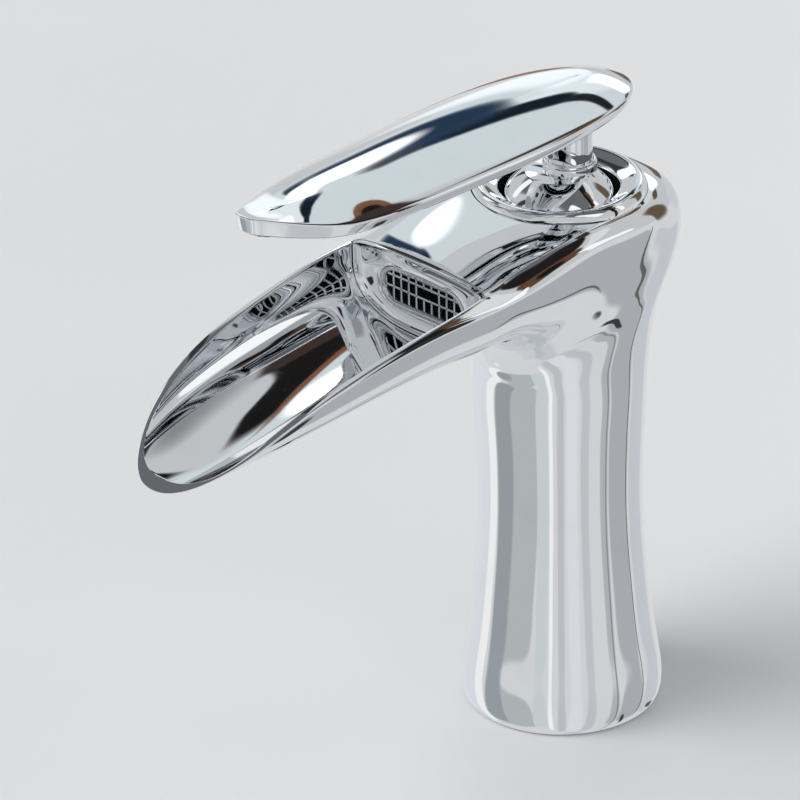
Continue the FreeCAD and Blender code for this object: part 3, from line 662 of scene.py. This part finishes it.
def leafMesh():
    form = leafForm
    right = np.array(form["outline"], float)
    loop = np.vstack([right, (right * (-1, 1))[-2::-1]])
    chord = np.linalg.norm(np.diff(loop, axis=0), axis=1) ** 0.5
    knots = np.concatenate([[0], np.cumsum(chord)])
    # a few more points past both ends close the loop smoothly
    spare = 5
    wrapped = np.vstack([loop[-1 - spare : -1], loop, loop[1 : 1 + spare]])
    total = knots[-1]
    wrappedKnots = np.concatenate(
        [knots[-1 - spare : -1] - total, knots, knots[1 : 1 + spare] + total])
    fine = throughPoints(wrappedKnots, wrapped, np.linspace(0, total, 4000))
    outline = evenly(fine, 0, len(fine) - 1, form["around"] + 1)
    outline[-1] = outline[0]
    table = np.array(form["heights"], float)[::-1]
    back, nose = form["outline"][0][1], form["outline"][-1][1]
    backSpine, noseSpine = form["spine"]

    def heightsAt(y):
        return throughPoints(table[:, 0], table[:, 1:], y)

    spineY = noseSpine + (outline[:, 1] - nose) / (back - nose) * (backSpine - noseSpine)
    spine = np.column_stack([np.zeros(len(spineY)), spineY])
    edge = heightsAt(np.clip(outline[:, 1], nose, back))
    middle = heightsAt(spineY)
    crownTop = middle[:, 0] + middle[:, 1]
    edgeTop = edge[:, 0]
    under = middle[:, 0] - middle[:, 2] - form["underDrop"]
    edgeLow = edge[:, 0] - edge[:, 2]
    span = outline - spine
    length = np.linalg.norm(span, axis=1)

    def ringAt(share, height):
        flat = spine + span * share[:, None]
        return np.column_stack([flat, height])

    one = np.ones(len(outline))
    shoulder = 1 - form["rounding"] / length
    rows = []
    for r in np.linspace(0, 1, form["topRings"]):
        share = shoulder * r
        rows.append(ringAt(share, crownTop - (crownTop - edgeTop) * share ** form["crownPower"]))
    corner = ringAt(one, edgeTop)
    side = ringAt(one, edgeTop - form["rounding"])
    rows.extend(cornerRows(rows[-1], corner, side, 5))
    lowShare = 1 - form["inset"] / length
    lowSide = ringAt(1 - 0.7 * form["inset"] / length, edgeLow + form["rounding"])
    lowCorner = ringAt(lowShare, edgeLow)
    innerShare = 1 - (form["inset"] + form["rounding"]) / length
    lowIn = ringAt(innerShare, edgeLow)
    rows.extend(cornerRows(lowSide, lowCorner, lowIn, 5, keepFirst=True))
    for r in np.linspace(1, 0, form["underRings"])[1:]:
        share = innerShare * r
        rows.append(ringAt(share, under + (edgeLow - under) * share**2))
    grid = np.array(rows)
    grid[:, -1] = grid[:, 0]
    return newMesh("leverLeaf", [(grid, 0)], sharp=60)


spigotForm = [(0, 152.5, 0), (3, 152.5, 0.4), (3, 161, 0), (0, 161, 0)]

leverLeaf = newPiece("leverLeaf", leafMesh())
spigot = newPiece("leafSpigot", newMesh(
    "leafSpigot", [(turnedGrid(softOutline(spigotForm), (0, stemBack), 64), 0)]))
print("lever made")


# a socket that shader maths can be written with
class Value:
    def __init__(self, finish, socket):
        self.finish = finish
        self.socket = socket

    def __add__(self, other):
        return self.finish.maths("ADD", self, other)

    __radd__ = __add__

    def __mul__(self, other):
        return self.finish.maths("MULTIPLY", self, other)

    __rmul__ = __mul__

    def __sub__(self, other):
        return self.finish.maths("SUBTRACT", self, other)

    def __rsub__(self, other):
        return self.finish.maths("SUBTRACT", other, self)

    def __truediv__(self, other):
        return self.finish.maths("DIVIDE", self, other)

    def __pow__(self, other):
        return self.finish.maths("POWER", self, other)


class Finish:
    def __init__(self, tree):
        self.tree = tree
        tree.nodes.clear()

    # adds a node: settings first, then the values or links of its sockets
    def node(self, kind, settings=None, inputs=None, output=0):
        node = self.tree.nodes.new("ShaderNode" + kind)
        for key, value in (settings or {}).items():
            if key == "stops":
                ramp = node.color_ramp
                while len(ramp.elements) < len(value):
                    ramp.elements.new(0.5)
                for element, (place, colour) in zip(ramp.elements, value):
                    element.position = place
                    element.color = (*colour, 1) if len(colour) == 3 else colour
            else:
                setattr(node, key, value)
        for key, value in (inputs or {}).items():
            if isinstance(value, Value):
                self.tree.links.new(value.socket, node.inputs[key])
            else:
                node.inputs[key].default_value = value
        return Value(self, node.outputs[output]) if node.outputs else None

    def maths(self, operation, first, second):
        return self.node("Math", {"operation": operation}, {0: first, 1: second})

    def dot(self, first, second):
        return self.node("VectorMath", {"operation": "DOT_PRODUCT"}, {0: first, 1: second}, "Value")

    def mix(self, share, first, second):
        return self.node("Mix", {"data_type": "RGBA"}, {"Factor": share, 6: first, 7: second}, 2)

    def place(self, stretch=(1, 1, 1), turn=(0, 0, 0)):
        spot = self.node("TexCoord", None, None, "Object")
        return self.node("Mapping", None, {"Vector": spot, "Scale": stretch, "Rotation": turn})

    def noise(self, scale, detail=2.0, stretch=(1, 1, 1), turn=(0, 0, 0), roughness=0.5):
        where = self.place(stretch, turn)
        return self.node("TexNoise", None, {"Vector": where, "Scale": scale, "Detail": detail,
                                            "Roughness": roughness})

    # spreads a noise value over 0 to 1 between two of its levels
    def spread(self, value, low, high):
        return self.node("MapRange", {"interpolation_type": "SMOOTHSTEP"},
                         {0: value, 1: low, 2: high, 3: 0.0, 4: 1.0})


def newFinish(name, make):
    material = bpy.data.materials.new(name)
    material.use_nodes = True
    finish = Finish(material.node_tree)
    surface = make(finish)
    finish.node("OutputMaterial", None, {"Surface": surface})
    return material


def polishedChrome(finish):
    # long soft waves of a buffed casting, faint wipe marks and a few dried specks
    waves = finish.noise(38, 1.5)
    wipes = finish.spread(finish.noise(420, 4, (1, 1, 0.12), (0.3, 0.2, 0.5)), 0.45, 0.75)
    haze = finish.spread(finish.noise(55, 5, roughness=0.6), 0.5, 0.8)
    specks = finish.spread(finish.noise(900, 1), 0.74, 0.8)
    roughness = 0.022 + 0.02 * haze + 0.012 * wipes + 0.06 * specks
    colour = finish.mix(haze, (0.83, 0.845, 0.865, 1), (0.79, 0.805, 0.825, 1))
    height = waves + 0.004 * wipes
    normal = finish.node("Bump", None, {"Strength": 0.18, "Distance": 0.00012, "Height": height})
    return finish.node("BsdfPrincipled", None, {
        "Base Color": colour, "Metallic": 1.0, "Roughness": roughness, "Normal": normal})


def satinChrome(finish):
    grain = finish.noise(700, 4)
    cloud = finish.spread(finish.noise(160, 3), 0.4, 0.7)
    roughness = 0.16 + 0.1 * cloud + 0.05 * grain
    colour = finish.mix(cloud, (0.60, 0.61, 0.63, 1), (0.52, 0.53, 0.55, 1))
    normal = finish.node("Bump", None, {"Strength": 0.2, "Distance": 0.00004, "Height": grain})
    return finish.node("BsdfPrincipled", None, {
        "Base Color": colour, "Metallic": 1.0, "Roughness": roughness, "Normal": normal})


def castInside(finish):
    grain = finish.noise(900, 6, roughness=0.65)
    cloud = finish.spread(finish.noise(90, 4), 0.35, 0.7)
    colour = finish.mix(cloud, (0.085, 0.08, 0.07, 1), (0.13, 0.115, 0.09, 1))
    normal = finish.node("Bump", None, {"Strength": 0.6, "Distance": 0.00025, "Height": grain})
    return finish.node("BsdfPrincipled", None, {
        "Base Color": colour, "Metallic": 0.55, "Roughness": 0.45 + 0.2 * grain, "Normal": normal})


def blackRubber(finish):
    grain = finish.noise(1500, 5, roughness=0.7)
    dust = finish.spread(finish.noise(120, 4), 0.45, 0.75)
    colour = finish.mix(dust, (0.018, 0.018, 0.019, 1), (0.045, 0.044, 0.042, 1))
    normal = finish.node("Bump", None, {"Strength": 0.5, "Distance": 0.0001, "Height": grain})
    return finish.node("BsdfPrincipled", None, {
        "Base Color": colour, "Roughness": 0.62 + 0.25 * grain, "Normal": normal})


def cartridgePlastic(finish):
    grain = finish.noise(1300, 4)
    cloud = finish.spread(finish.noise(70, 3), 0.4, 0.7)
    colour = finish.mix(cloud, (0.74, 0.74, 0.71, 1), (0.66, 0.66, 0.63, 1))
    normal = finish.node("Bump", None, {"Strength": 0.3, "Distance": 0.00006, "Height": grain})
    return finish.node("BsdfPrincipled", None, {
        "Base Color": colour, "Roughness": 0.42 + 0.2 * cloud, "Normal": normal})


def ceramicDisc(finish):
    grain = finish.noise(2200, 3)
    cloud = finish.spread(finish.noise(110, 3), 0.4, 0.7)
    colour = finish.mix(cloud, (0.88, 0.87, 0.83, 1), (0.82, 0.81, 0.77, 1))
    normal = finish.node("Bump", None, {"Strength": 0.15, "Distance": 0.00003, "Height": grain})
    return finish.node("BsdfPrincipled", None, {
        "Base Color": colour, "Roughness": 0.2 + 0.12 * cloud, "Normal": normal})


def rawBrass(finish):
    # fine turning rings and darker handling stains
    rings = finish.noise(60, 2, (1, 1, 60))
    stain = finish.spread(finish.noise(130, 5), 0.42, 0.72)
    colour = finish.mix(stain, (0.74, 0.55, 0.24, 1), (0.48, 0.33, 0.14, 1))
    normal = finish.node("Bump", None, {"Strength": 0.35, "Distance": 0.00005, "Height": rings})
    return finish.node("BsdfPrincipled", None, {
        "Base Color": colour, "Metallic": 1.0, "Roughness": 0.24 + 0.22 * stain, "Normal": normal})


def plainSteel(finish):
    brushed = finish.noise(500, 4, (0.06, 1, 1))
    stain = finish.spread(finish.noise(90, 4), 0.45, 0.75)
    colour = finish.mix(stain, (0.56, 0.565, 0.57, 1), (0.42, 0.42, 0.42, 1))
    normal = finish.node("Bump", None, {"Strength": 0.3, "Distance": 0.00004, "Height": brushed})
    return finish.node("BsdfPrincipled", None, {
        "Base Color": colour, "Metallic": 1.0, "Roughness": 0.26 + 0.16 * brushed + 0.1 * stain,
        "Normal": normal})


def plugGrey(finish):
    grain = finish.noise(1800, 3)
    colour = finish.mix(finish.spread(grain, 0.4, 0.6), (0.5, 0.51, 0.53, 1), (0.44, 0.45, 0.47, 1))
    normal = finish.node("Bump", None, {"Strength": 0.2, "Distance": 0.00003, "Height": grain})
    return finish.node("BsdfPrincipled", None, {
        "Base Color": colour, "Roughness": 0.22 + 0.12 * grain, "Normal": normal})


chrome = newFinish("polishedChrome", polishedChrome)
satin = newFinish("satinChrome", satinChrome)
inside = newFinish("castInside", castInside)
rubber = newFinish("blackRubber", blackRubber)
plastic = newFinish("cartridgePlastic", cartridgePlastic)
ceramic = newFinish("ceramicDisc", ceramicDisc)
brass = newFinish("rawBrass", rawBrass)
steel = newFinish("plainSteel", plainSteel)
plug = newFinish("plugGrey", plugGrey)

# new pieces: object, body it moves with, nodes it stands for, material slot, finishes
newPieces = [
    (faucetBody, "tap", ["faucet_body"], "chrome_plate", [chrome, inside]),
    (outletInsert, "tap", ["outlet_insert"], "chrome_plate", [chrome]),
    (outletGrille, "tap", ["outlet_grille"], "grille_plate", [satin]),
    (trimRing, "tap", ["trim_ring"], "chrome_plate", [chrome]),
    (ballDome, "handle", ["ball_dome"], "chrome_plate", [chrome]),
    (leverStem, "handle", ["lever_stem"], "chrome_plate", [chrome, inside]),
    (stemCollar, "handle", ["stem_collar"], "chrome_plate", [chrome]),
    (leverLeaf, "handle", ["lever_leaf"], "chrome_plate", [chrome]),
    (spigot, "handle", [], "chrome_plate", [chrome]),
]
for piece, body, nodes, slot, finishes in newPieces:
    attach(piece, body)
    if nodes:
        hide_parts(*nodes)
    for k, finish in enumerate(finishes):
        piece.data.materials[k] = finish

nodeFinish = {
    "chrome_plate": chrome, "grille_plate": satin, "rubber_black": rubber,
    "cartridge_plastic": plastic, "ceramic_disc": ceramic, "raw_brass": brass,
    "plain_steel": steel, "plug_grey": plug,
}
for part in frame["record"]["subparts"]:
    node = frame["nodes"][part["node"]]
    node.data.materials.clear()
    node.data.materials.append(nodeFinish[part["material_slot"]])
print("finishes set")


# direction from an azimuth and a height in degrees: 0 is the spout's side
def wayTo(azimuth, height):
    a, h = math.radians(azimuth), math.radians(height)
    return Vector((math.sin(a) * math.cos(h), -math.cos(a) * math.cos(h), math.sin(h)))


stageForm = {"floorSize": 5.0, "floorTone": (0.86, 0.86, 0.865)}


def paleFloor(finish):
    cloud = finish.noise(3, 4)
    tone = stageForm["floorTone"]
    darker = tuple(0.97 * c for c in tone)
    colour = finish.mix(finish.spread(cloud, 0.35, 0.7), (*tone, 1), (*darker, 1))
    top = finish.node("BsdfPrincipled", None, {"Base Color": colour, "Roughness": 0.35})
    below = finish.node("BsdfTransparent")
    side = finish.node("NewGeometry", None, None, "Backfacing")
    return finish.node("MixShader", None, {0: side, 1: top, 2: below})


size = stageForm["floorSize"]
floorMesh = bpy.data.meshes.new("floor")
floorCorners = [(-size, -size, 0), (size, -size, 0), (size, size, 0), (-size, size, 0)]
floorMesh.from_pydata(floorCorners, [], [(0, 1, 2, 3)])
floor = newPiece("floor", floorMesh)
floorMesh.materials.append(newFinish("paleFloor", paleFloor))
floor.visible_glossy = False  # the chrome sees the studio instead

# small soft lamp close to the lever's nose, seen only in the chrome
glowForm = {"way": (-134, 20), "distance": 0.3, "radius": 0.034, "core": 0.35,
            "back": 0.012, "down": 0.002, "strength": 3.0}


def softGlow(finish):
    where = finish.node("TexCoord", None, None, "Object")
    reach = finish.node("VectorMath", {"operation": "LENGTH"}, {0: where}, "Value")
    glow = finish.node("Emission", None, {"Color": (1, 1, 1, 1), "Strength": glowForm["strength"]})
    clear = finish.node("BsdfTransparent")
    mask = finish.spread(reach, glowForm["radius"], glowForm["core"] * glowForm["radius"])
    return finish.node("MixShader", None, {0: mask, 1: clear, 2: glow})


def glowLamp():
    form = glowForm
    low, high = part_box("lever_leaf")
    way = wayTo(*form["way"])
    points = [(form["radius"] * math.cos(a), form["radius"] * math.sin(a), 0)
              for a in np.linspace(0, 2 * math.pi, 33)[:-1]]
    mesh = bpy.data.meshes.new("glowLamp")
    mesh.from_pydata(points, [], [tuple(range(32))])
    mesh.materials.append(newFinish("softGlow", softGlow))
    lamp = newPiece("glowLamp", mesh)
    nose = Vector((0, low.y + form["back"], high.z - form["down"]))
    lamp.location = nose + way * form["distance"]
    lamp.rotation_euler = way.to_track_quat("Z", "Y").to_euler()
    lamp.visible_camera = lamp.visible_shadow = lamp.visible_diffuse = False


glowLamp()


# soft boxes, dark gaps and warm strips round the studio, each drawn over the ones before it:
# azimuth and height of both ends in degrees, half width in degrees, softness, colour
studioPanels = [
    # counter level, all round
    ((-112, -24), (-62, -26), 15, 0.5, (0.78, 0.80, 0.83)),
    ((-72, -30), (-56, -30), 22, 0.5, (0.98, 0.98, 0.98)),
    ((-54, -29), (12, -29), 17, 0.2, (0.50, 0.53, 0.53)),
    ((-53, -29), (-26, -29), 16, 0.6, (0.35, 0.38, 0.40)),
    ((11, -29), (27, -29), 17, 0.5, (0.66, 0.70, 0.69)),
    ((31, -8), (31, -52), 2.2, 0.9, (1.0, 1.0, 1.0)),
    ((44, -8), (44, -60), 4, 1.0, (0.58, 0.59, 0.61)),
    ((60, -8), (60, -60), 7, 1.0, (0.80, 0.81, 0.83)),
    ((78, -8), (78, -60), 5, 1.0, (0.60, 0.61, 0.63)),
    ((101, -31), (113, -31), 16, 0.9, (0.50, 0.50, 0.51)),
    ((115, -31), (150, -29), 15, 0.4, (0.46, 0.47, 0.49)),
    ((114, -62), (109, -8), 1.0, 0.9, (0.30, 0.30, 0.31)),
    ((150, -14), (146, -44), 0.7, 0.8, (0.14, 0.13, 0.12)),
    ((154, -31), (-170, -31), 12, 0.5, (0.62, 0.64, 0.67)),
    ((121, -36), (133, -52), 2.0, 0.7, (0.05, 0.05, 0.05)),
    ((60, -62), (-150, -66), 7, 0.8, (0.62, 0.64, 0.67)),
    ((168, -38), (-167, -39), 2.0, 0.8, (0.10, 0.10, 0.11)),
    # dark room in front and overhead
    ((-88, 30), (94, 30), 30, 0.6, (0.15, 0.155, 0.165)),
    ((-20, 44), (30, 46), 7, 0.9, (0.36, 0.37, 0.38)),
    ((-60, 9), (-32, 9), 5, 0.8, (0.80, 0.80, 0.82)),
    ((38, 8), (62, 14), 5, 0.8, (0.75, 0.75, 0.77)),
    ((10, 4), (26, 18), 5, 0.8, (0.03, 0.03, 0.035)),
    ((-52, 24), (-40, 44), 4, 0.8, (0.05, 0.055, 0.065)),
    ((45, 58), (-135, 76), 25, 0.5, (0.14, 0.14, 0.15)),
    # behind, from one side to the other
    ((-178, -2), (-152, -5), 12, 0.8, (0.66, 0.67, 0.68)),
    ((170, 35), (165, -8), 8, 0.8, (0.14, 0.10, 0.065)),
    ((-172, 25), (-157, 25), 2.5, 0.8, (0.13, 0.09, 0.06)),
    ((-168, 44), (-126, 12), 12, 0.25, (0.70, 0.77, 0.79)),
    ((-153, 31), (-138, 22), 5, 0.9, (0.86, 0.93, 0.95)),
    ((-160, 22), (-143, 22), 5, 0.9, (1.5, 1.5, 1.5)),
    ((-140, 22), (-131, 0), 3.4, 0.9, (1.05, 1.12, 1.17)),
    ((-167, 36.9), (-143, 32.2), 1.3, 0.8, (0.015, 0.018, 0.022)),
    ((-146, 33.3), (-134, 25.5), 1.6, 0.8, (0.010, 0.016, 0.028)),
    ((-136.2, 27.5), (-128.6, 12), 1.5, 0.9, (0.02, 0.045, 0.085)),
    ((-168, 55.9), (-127, 32.1), 1.6, 0.4, (0.012, 0.011, 0.011)),
    ((-168, 53.9), (-127, 30.1), 0.35, 0.8, (0.22, 0.10, 0.05)),
    ((178, 55), (-157, 52.5), 2.6, 0.6, (0.05, 0.035, 0.03)),
    ((-167, 38), (-167, 51), 1.3, 0.8, (0.07, 0.05, 0.035)),
    ((-155, 9), (-143, -7), 3.5, 0.7, (0.17, 0.13, 0.09)),
    ((-135, -2), (-131, -14), 1.6, 0.9, (0.30, 0.19, 0.14)),
    ((119, -14), (121, 31), 2.4, 0.6, (0.03, 0.03, 0.03)),
    ((121, 26), (141, 54), 5, 0.5, (0.13, 0.065, 0.032)),
    ((137, 54), (-176, 59), 5, 0.5, (0.016, 0.014, 0.014)),
    ((118, 18), (133, 53), 2.6, 0.6, (0.012, 0.012, 0.012)),
    ((126, 48), (179, 67), 1.8, 0.7, (0.008, 0.008, 0.009)),
    ((131, 6), (134, 37), 3.6, 0.4, (1.1, 1.1, 1.1)),
    ((136, 38), (173, 50), 3.2, 0.5, (0.80, 0.80, 0.80)),
    ((-175, 47), (-168, 40), 2.2, 0.6, (0.15, 0.075, 0.04)),
    # in front and at the sides
    ((-92, 44), (-72, 22), 6, 0.3, (1.1, 1.1, 1.12)),
    ((72, 52), (100, 22), 8, 0.3, (1.1, 1.1, 1.12)),
    ((8, 66), (60, 66), 6, 0.4, (1.3, 1.3, 1.3)),
    ((-108, 62), (-112, 4), 3, 0.6, (0.04, 0.04, 0.045)),
]
studioTones = {"above": (0.62, 0.63, 0.64, 1), "below": (0.74, 0.745, 0.75, 1),
               "backdrop": (0.75, 0.75, 0.76, 1)}


def studioSky():
    world = bpy.data.worlds.new("studio")
    bpy.context.scene.world = world
    world.use_nodes = True
    world.cycles.sampling_method = "NONE"
    sky = Finish(world.node_tree)
    way = sky.node("TexCoord", None, None, "Generated")
    height = sky.node("SeparateXYZ", None, {0: way}, "Z")
    light = sky.mix(sky.spread(height, -0.06, 0.02), studioTones["below"], studioTones["above"])
    for start, end, half, soft, colour in studioPanels:
        start, end = wayTo(*start), wayTo(*end)
        centre = (start + end).normalized()
        along = (end - start).normalized()
        across = centre.cross(along)
        ahead = sky.dot(way, centre)
        length = math.tan(start.angle(end) / 2)
        shape = (sky.dot(way, along) / ahead * (1 / length)) ** 4
        shape = shape + (sky.dot(way, across) / ahead * (1 / math.tan(math.radians(half)))) ** 4
        mask = sky.spread(shape, 1 + soft, 1 - soft) * sky.maths("GREATER_THAN", ahead, 0.05)
        light = sky.mix(mask, light, (*colour, 1))
    seen = sky.node("LightPath", None, None, "Is Camera Ray")
    light = sky.mix(seen, light, studioTones["backdrop"])  # a plain backdrop behind the object
    background = sky.node("Background", None, {"Color": light, "Strength": 1.0})
    sky.node("OutputWorld", None, {"Surface": background})


studioSky()
bpy.context.scene.view_settings.view_transform = "Standard"


sunForm = {"turn": (40, -30, 0), "strength": 2.1, "angle": 50}


def softSun():
    sun = bpy.data.objects.new("softSun", bpy.data.lights.new("softSun", "SUN"))
    sun.data.energy = sunForm["strength"]
    sun.data.angle = math.radians(sunForm["angle"])
    sun.rotation_euler = [math.radians(t) for t in sunForm["turn"]]
    sun.visible_glossy = False
    bpy.context.scene.collection.objects.link(sun)


softSun()

cameraForm = {"azimuth": 45.39, "elevation": 27.93, "roll": -1.11, "distance": 1.4187,
              "aim": (-0.0279, -0.0272, 0.0814), "lens": 261.9}


def setCamera():
    form = cameraForm
    a, r = math.radians(form["azimuth"]), math.radians(form["roll"])
    back = wayTo(form["azimuth"], form["elevation"])
    flat = Vector((math.cos(a), math.sin(a), 0))
    rise = back.cross(flat)
    right = flat * math.cos(r) + rise * math.sin(r)
    up = back.cross(right)
    camera = bpy.data.objects.new("camera", bpy.data.cameras.new("camera"))
    bpy.context.scene.collection.objects.link(camera)
    camera.data.lens = form["lens"]
    camera.data.sensor_width = 36
    camera.data.clip_end = 50
    turned = Matrix((right, up, back)).transposed().to_4x4()
    spot = Vector(form["aim"]) + back * form["distance"]
    camera.matrix_world = Matrix.Translation(spot) @ turned
    bpy.context.scene.camera = camera


setCamera()
print("stage set")
